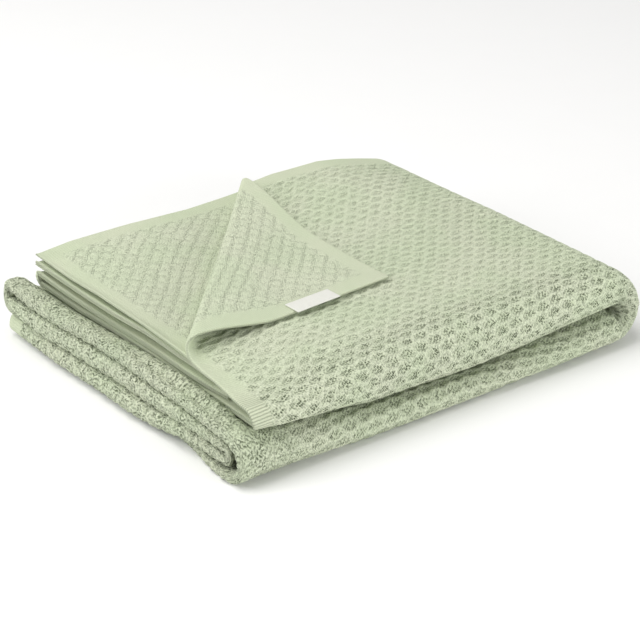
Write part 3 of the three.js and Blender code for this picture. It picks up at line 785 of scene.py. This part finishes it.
# Colours of the yarn, with painted shade for the cells' floors and for the gaps between stitches
YARN = (0.55, 0.595, 0.428, 1)
YARN_LIGHT = (0.70, 0.74, 0.575, 1)
CELL_FLOOR_SHADE = (0.50, 0.555, 0.385, 1)
GAP_SHADE = (0.05, 0.075, 0.025, 1)
FUZZ_SCALE, FUZZ_DETAIL, FUZZ_EDGE = 1.6, 5.0, (0.32, 0.68)
LESS_LIGHT_IN_BORDER = 0.5
# Painted shade on the cells' floors: its share, and how much less of it there is under the loops
FLOOR_SHADE_SHARE = 0.34
LESS_FLOOR_SHADE_IN_LOOPS = 0.7
PATCH_SCALE, PATCH_EDGE = 0.03, (0.35, 0.65)
PATCH_TINTS = ((1.0, 1.0, 1.0, 1), (0.95, 0.985, 0.945, 1))
GAP_DEEP, FUZZ_HIGH, RELIEF_SIZE = 0.8, 0.45, 0.001
KNIT_ROUGH = (0.2, 0.8, 0.85, 1.0)


def knit_material():
    """Cotton yarn: outlines round cells whose floors and gaps between stitches are painted dark as shade,
    ribs in the border with painted shade between them, fuzz all over.
    """
    material = bpy.data.materials.new("sage_knit")
    material.use_nodes = True
    n = Nodes(material)
    cells = n.add("ShaderNodeAttribute", attribute_name="cells").outputs["Vector"]
    edge = n.add("ShaderNodeAttribute", attribute_name="edge").outputs["Vector"]
    place = n.add("ShaderNodeSeparateXYZ", {0: cells})
    border = n.add("ShaderNodeSeparateXYZ", {0: edge})
    is_wrong = place.outputs["Z"]
    opened = border.outputs["Z"]
    loops_here = n.add("ShaderNodeAttribute", attribute_name="loops").outputs["Fac"]
    ribs_here = n.add("ShaderNodeAttribute", attribute_name="ribs").outputs["Fac"]
    # the knit in millimetres, with each yarn a little out of place
    in_mm = n.vector("MULTIPLY", cells, (CELL_LONG, 2 * CELL_ROW, SIDES_APART))
    sway = n.add("ShaderNodeTexNoise", {"Vector": in_mm, "Scale": SWAY_SCALE, "Detail": 2.0})
    sway = n.vector("SUBTRACT", sway.outputs["Color"], (0.5, 0.5, 0.5))
    reach = (SWAY_REACH / CELL_LONG, SWAY_REACH / (2 * CELL_ROW), 0.0)
    swayed = n.vector("MULTIPLY_ADD", sway, reach, cells)
    spot = n.add("ShaderNodeSeparateXYZ", {0: swayed})
    long, wide = spot.outputs["X"], spot.outputs["Y"]

    def wrapped(value, shift=0.0):
        return n.math("WRAP", n.math("ADD", value, shift), 0.5, -0.5)

    # how deep a place lies inside its cell, and how far towards the cell's last stitches
    inside, towards_last = [], []
    for shift in (0.0, 0.5):
        from_long, from_wide = wrapped(long, shift), wrapped(wide, shift)
        off_long, off_wide = n.math("ABSOLUTE", from_long), n.math("ABSOLUTE", from_wide)
        side = n.math("MULTIPLY_ADD", off_long, -CELL_LONG, CELL_LONG / 2)
        slant = n.math("ADD", off_long, n.math("MULTIPLY", off_wide, 3.0))
        slant = n.math("MULTIPLY_ADD", slant, -SLANT_DEEP, SLANT_DEEP)
        inside.append(n.math("MINIMUM", side, slant))
        towards_last.append(from_long)
    depth = n.math("MAXIMUM", inside[0], inside[1])
    in_first = n.math("GREATER_THAN", inside[0], inside[1])
    apart = n.math("SUBTRACT", towards_last[0], towards_last[1])
    lean = n.math("MULTIPLY_ADD", in_first, apart, towards_last[1])
    in_cell = n.step(depth, *CELL_EDGE)

    # gaps between stitches, painted dark as shade: one for each cell of an uneven net, deepest and darkest
    # at a cell's last stitches
    slanted = n.add("ShaderNodeVectorRotate", {"Vector": in_mm, "Angle": STITCH_SLANT},
                    rotation_type="Z_AXIS").outputs[0]
    stitches = n.vector("MULTIPLY", slanted, (1 / STITCH_NARROW, 1 / STITCH_LONG, 1.0))
    net = n.add("ShaderNodeTexVoronoi", {"Vector": stitches, "Scale": 1.0, "Randomness": STITCH_UNEVEN},
                voronoi_dimensions="2D")
    chance = n.add("ShaderNodeSeparateColor", {0: net.outputs["Color"]})
    hole = n.step(net.outputs["Distance"], *HOLE_EDGE)
    hole = n.math("MULTIPLY", hole, n.step(chance.outputs["Red"], *HOLE_CHANCE))
    in_outline = n.math("MULTIPLY_ADD", in_cell, HOLE_MORE_IN_CELL, HOLE_ON_OUTLINE)
    cell_hole = n.math("MULTIPLY", n.math("MULTIPLY", hole, n.step(lean, *HOLE_LEAN)), in_outline)

    # loose loops: a fine uneven grain of gaps, painted dark as shade
    grain = n.noise(in_mm, LOOP_GRAIN)
    loop_hole = n.step(grain, *LOOP_EDGE)
    clump = n.noise(in_mm, LOOP_CLUMP, 1.0)
    loop_hole = n.math("MULTIPLY", loop_hole, n.step(clump, *LOOP_CLUMP_SHARE))
    to_loops = n.math("SUBTRACT", loop_hole, cell_hole)
    right_hole = n.math("MULTIPLY", n.math("MULTIPLY_ADD", to_loops, loops_here, cell_hole), opened)

    # grooves of the wrong side, painted dark as shade, deeper and darker along one slant than along the
    # other, and broken into dots
    groove = []
    from_crest = n.math("ABSOLUTE", long)
    for sign, dark in GROOVE_SETS:
        off_middle = n.math("ABSOLUTE", wrapped(n.math("MULTIPLY_ADD", wide, sign, from_crest)))
        from_groove = n.math("MULTIPLY_ADD", off_middle, -DIAMOND_DEEP, DIAMOND_DEEP / 2)
        groove.append(n.math("MULTIPLY", n.step(from_groove, *GROOVE_EDGE), dark))
    groove = n.math("MAXIMUM", groove[0], groove[1])
    groove = n.math("MULTIPLY", groove, hole)
    wrong_hole = n.math("MULTIPLY_ADD", hole, WRONG_HOLE, groove)

    # ribs of the border, square to each edge, with painted shade between them
    mm = n.add("ShaderNodeSeparateXYZ", {0: in_mm})
    ribs = []
    for value, share in ((mm.outputs["Y"], border.outputs["X"]), (mm.outputs["X"], border.outputs["Y"])):
        wave = n.math("SINE", n.math("MULTIPLY", value, 2 * math.pi / RIB))
        ribs.append(n.math("MULTIPLY", n.step(wave, 0.0, 1.0), share))
    rib = n.math("MULTIPLY", n.math("MAXIMUM", ribs[0], ribs[1]), n.step(ribs_here, *RIB_SHARE))
    is_border = n.math("MAXIMUM", border.outputs["X"], border.outputs["Y"])
    plain = n.math("SUBTRACT", 1.0, is_border)
    right = n.math("SUBTRACT", 1.0, is_wrong)

    # painted shade on the cells' floors, none in the border, less under the loops and where the stitches
    # are closed
    floor_shade = n.math("MULTIPLY", n.math("MULTIPLY", in_cell, right), plain)
    beside_loops = n.math("MULTIPLY_ADD", loops_here, -LESS_FLOOR_SHADE_IN_LOOPS, 1.0)
    floor_shade = n.math("MULTIPLY", floor_shade, beside_loops)
    floor_shade = n.math("MULTIPLY", floor_shade, n.math("MULTIPLY", opened, FLOOR_SHADE_SHARE))
    knit_hole = n.math("MULTIPLY_ADD", right_hole, right, n.math("MULTIPLY", wrong_hole, is_wrong))
    gap = n.math("MULTIPLY_ADD", knit_hole, plain, rib)
    fuzz = n.noise(in_mm, FUZZ_SCALE, FUZZ_DETAIL)
    patch = n.noise(in_mm, PATCH_SCALE)
    light_share = n.math("MULTIPLY_ADD", is_border, -LESS_LIGHT_IN_BORDER, 1.0)
    yarn = n.mix(n.math("MULTIPLY", n.step(fuzz, *FUZZ_EDGE), light_share), YARN, YARN_LIGHT)
    colour = n.mix(floor_shade, yarn, CELL_FLOOR_SHADE)
    # painted shade, near black, in the gaps between stitches and loops, in the wrong side's grooves and
    # between the ribs
    colour = n.mix(gap, colour, GAP_SHADE)
    tint = n.mix(n.step(patch, *PATCH_EDGE), *PATCH_TINTS)
    base = n.mix(1.0, colour, tint, "MULTIPLY")

    height = n.math("MULTIPLY_ADD", gap, -GAP_DEEP, n.math("MULTIPLY", fuzz, FUZZ_HIGH))
    bump = n.add("ShaderNodeBump", {"Height": height, "Strength": 1.0, "Distance": RELIEF_SIZE})
    shader = n.add("ShaderNodeBsdfPrincipled", {
        "Base Color": base, "Roughness": n.step(fuzz, *KNIT_ROUGH), "Normal": bump.outputs["Normal"],
        "Sheen Weight": 0.1, "Sheen Roughness": 0.6, "Specular IOR Level": 0.1,
    })
    n.add("ShaderNodeOutputMaterial", {"Surface": shader.outputs["BSDF"]})
    return material


TAPE_THREAD = 0.45
# The tape's colour in the weave's dips, painted darker as shade, and on the threads' tops
TAPE_SHADED_DIP = (0.71, 0.71, 0.655, 1)
TAPE_LIT_TOP = (0.78, 0.78, 0.735, 1)
TAPE_AGED = (0.66, 0.66, 0.59, 1)
TAPE_SOIL_SCALE, TAPE_SOIL = 0.3, (0.3, 0.75, 0.0, 0.25)
TAPE_ROUGH = (0.2, 0.8, 0.7, 0.85)
THREAD_HIGH, THREAD_RELIEF, THREAD_SIZE = 0.5, 0.35, 0.0003


def label_material():
    """Plain white woven tape, painted darker as shade in the dips of the weave."""
    material = bpy.data.materials.new("white_tape")
    material.use_nodes = True
    n = Nodes(material)
    flat = n.add("ShaderNodeAttribute", attribute_name="flat").outputs["Vector"]
    place = n.add("ShaderNodeSeparateXYZ", {0: flat})
    warp = n.math("SINE", n.math("MULTIPLY", place.outputs["X"], 2 * math.pi / TAPE_THREAD))
    weft = n.math("SINE", n.math("MULTIPLY", place.outputs["Y"], 2 * math.pi / TAPE_THREAD))
    weave = n.math("MULTIPLY", warp, weft)
    soil = n.noise(flat, TAPE_SOIL_SCALE)
    # painted shade in the dips of the weave
    colour = n.mix(n.step(weave, -1.0, 1.0), TAPE_SHADED_DIP, TAPE_LIT_TOP)
    aged = n.mix(n.step(soil, *TAPE_SOIL), colour, TAPE_AGED)
    height = n.math("MULTIPLY_ADD", weave, THREAD_HIGH, soil)
    bump = n.add("ShaderNodeBump", {"Height": height, "Strength": THREAD_RELIEF, "Distance": THREAD_SIZE})
    shader = n.add("ShaderNodeBsdfPrincipled", {
        "Base Color": aged, "Roughness": n.step(soil, *TAPE_ROUGH),
        "Normal": bump.outputs["Normal"], "Specular IOR Level": 0.25,
    })
    n.add("ShaderNodeOutputMaterial", {"Surface": shader.outputs["BSDF"]})
    return material


FLOOR_GRAIN = 40.0
FLOOR_WHITES = ((0.90, 0.90, 0.90, 1), (0.91, 0.91, 0.91, 1))


def floor_material():
    """Matt white paper."""
    material = bpy.data.materials.new("white_floor")
    material.use_nodes = True
    n = Nodes(material)
    grain = n.noise(n.add("ShaderNodeTexCoord").outputs["Object"], FLOOR_GRAIN)
    shader = n.add("ShaderNodeBsdfPrincipled", {
        "Base Color": n.mix(grain, *FLOOR_WHITES),
        "Roughness": 0.9, "Specular IOR Level": 0.0,
    })
    n.add("ShaderNodeOutputMaterial", {"Surface": shader.outputs["BSDF"]})
    return material


blanket = new_object("blanket_knit", *blanket_mesh())
blanket.data.materials.append(knit_material())
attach(blanket, "root")
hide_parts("blanket")

label = new_object("label_tape", *label_mesh())
label.data.materials.append(label_material())
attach(label, "root")
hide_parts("label")

FLOOR_HALF = 3.0
floor_corners = np.array([(-1, -1, 0), (1, -1, 0), (1, 1, 0), (-1, 1, 0)])
floor = new_object("floor", floor_corners * FLOOR_HALF, [[0, 1, 2, 3]], {})
floor.data.materials.append(floor_material())

# The camera at the photograph's place
AZIMUTH = math.radians(-37.78)
ELEVATION = math.radians(25.90)
DISTANCE = 1.0905
AIM_HEIGHT = 22.0
LENS, SENSOR = 125.35, 36
SHIFT_X, SHIFT_Y = -0.0339, -0.0412
VIEW_END = 20
TARGET = Vector((0.0, 0.0, AIM_HEIGHT)) * MM + Vector(PILE_SHIFT.tolist()) * MM
camera_data = bpy.data.cameras.new("camera")
camera_data.sensor_width = SENSOR
camera_data.lens = LENS
camera_data.shift_x = SHIFT_X
camera_data.shift_y = SHIFT_Y
camera_data.clip_end = VIEW_END
camera = bpy.data.objects.new("camera", camera_data)
towards = Vector((
    math.sin(AZIMUTH) * math.cos(ELEVATION), -math.cos(AZIMUTH) * math.cos(ELEVATION), math.sin(ELEVATION),
))
camera.location = TARGET + DISTANCE * towards
camera.rotation_euler = (-towards).to_track_quat("-Z", "Y").to_euler()
bpy.context.scene.collection.objects.link(camera)
bpy.context.scene.camera = camera


def area_light(name, place, size, power, colour):
    """A soft square light that faces the pile."""
    data = bpy.data.lights.new(name, "AREA")
    data.energy = power
    data.size = size
    data.color = colour
    lamp = bpy.data.objects.new(name, data)
    lamp.location = place
    lamp.rotation_euler = (Vector(place) - TARGET).to_track_quat("Z", "Y").to_euler()
    bpy.context.scene.collection.objects.link(lamp)


# Soft lights: name, place and size in metres, power in watts, and colour
WHITE = (1.0, 1.0, 1.0)
WARM_WHITE = (1.0, 0.99, 0.96)
WORLD_LIGHT = 0.4
LIGHTS = (
    ("key", (-0.35, 0.25, 1.6), 1.3, 15.0, WARM_WHITE),
    ("left", (-1.25, 0.45, 0.85), 1.2, 13.5, WHITE),
    ("front", (0.5, -1.4, 0.32), 0.7, 13.0, WHITE),
)
for light in LIGHTS:
    area_light(*light)
world = bpy.data.worlds.new("studio")
world.use_nodes = True
world.node_tree.nodes["Background"].inputs["Color"].default_value = (*WHITE, 1)
world.node_tree.nodes["Background"].inputs["Strength"].default_value = WORLD_LIGHT
bpy.context.scene.world = world
bpy.context.scene.view_settings.view_transform = "Standard"
